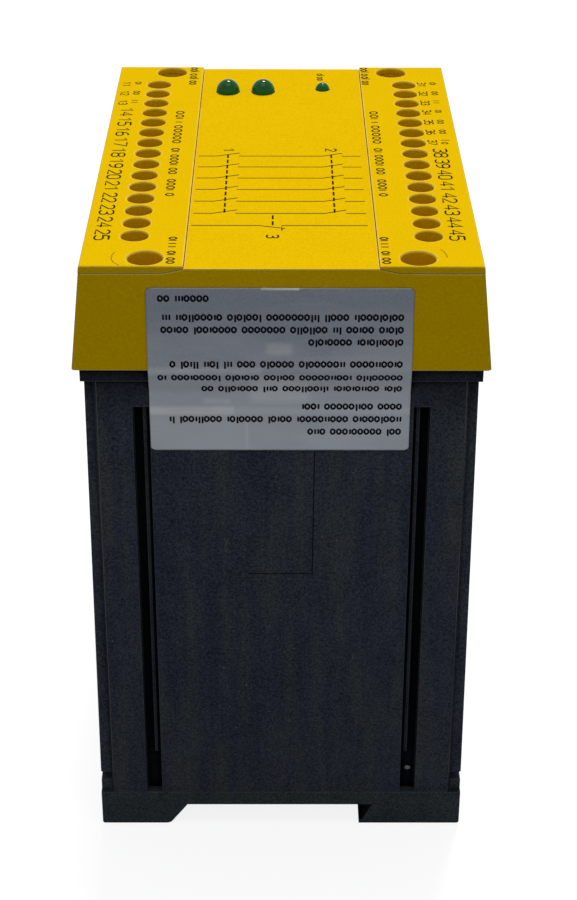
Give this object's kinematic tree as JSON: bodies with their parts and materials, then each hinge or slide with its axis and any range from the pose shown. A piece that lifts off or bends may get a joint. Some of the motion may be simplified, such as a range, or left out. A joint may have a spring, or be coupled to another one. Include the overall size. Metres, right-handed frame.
{
  "type": "safety relay",
  "caption": "Rail-mounted safety relay: dark housing with a rail hook and sprung latch, a yellow front with lights, and two terminal strips that pull off their pins.",
  "frame": {"origin": "middle of the underside, at the level of the feet", "axes": "+Z from the rail to the front, Y along the rail, +X up when the relay hangs on its rail"},
  "size_m": [0.0756, 0.1118, 0.1272],
  "materials": {
    "black_housing": "fine grained matt",
    "latch_plastic": "fine grained matt",
    "yellow_cap": "satin, finely grained",
    "yellow_strip": "satin, finely grained",
    "zinc_steel": "zinc plated",
    "spring_steel": "bright drawn",
    "tinned_brass": "tinned",
    "board_laminate": "solder mask over glass laminate",
    "header_plastic": "moulded",
    "green_lens": "clear tinted",
    "relay_can": "moulded",
    "core_steel": "laminated and varnished",
    "coil_wrap": "tape over copper",
    "capacitor_can": "sleeved",
    "fuse_glass": "moulded",
    "foil": "metallised film, satin"
  },
  "bodies": {
    "housing": {"housing_body": "black_housing", "base_plate": "black_housing", "front_cap": "yellow_cap", "latch_spring": "spring_steel", "left_pins": "tinned_brass", "right_pins": "tinned_brass", "left_board": "board_laminate", "right_board": "board_laminate", "front_board": "board_laminate", "left_pin_header": "header_plastic", "right_pin_header": "header_plastic", "led_channel_one": "green_lens", "led_channel_two": "green_lens", "led_power": "green_lens", "relay_one": "relay_can", "relay_two": "relay_can", "relay_three": "relay_can", "transformer_core": "core_steel", "transformer_coil": "coil_wrap", "capacitor_one": "capacitor_can", "capacitor_two": "capacitor_can", "fuse": "fuse_glass", "foil_label": "foil"},
    "left_strip": {"left_strip_housing": "yellow_strip", "left_clamp_cages": "zinc_steel", "left_clamp_screws": "zinc_steel", "left_socket_contacts": "tinned_brass"},
    "right_strip": {"right_strip_housing": "yellow_strip", "right_clamp_cages": "zinc_steel", "right_clamp_screws": "zinc_steel", "right_socket_contacts": "tinned_brass"},
    "latch": {"rail_latch": "latch_plastic"}
  },
  "joints": [
    {"name": "left_strip_pull", "type": "slide", "parent": "housing", "child": "left_strip", "axis": [0, 0, 1], "range_m": [0, 0.018]},
    {"name": "right_strip_pull", "type": "slide", "parent": "housing", "child": "right_strip", "axis": [0, 0, 1], "range_m": [0, 0.018]},
    {"name": "latch_slide", "type": "slide", "parent": "housing", "child": "latch", "axis": [-1, 0, 0], "range_m": [0, 0.0035], "stiffness_N_per_m": 900, "springref_m": -0.002, "deforming": ["latch_spring"]}
  ]
}
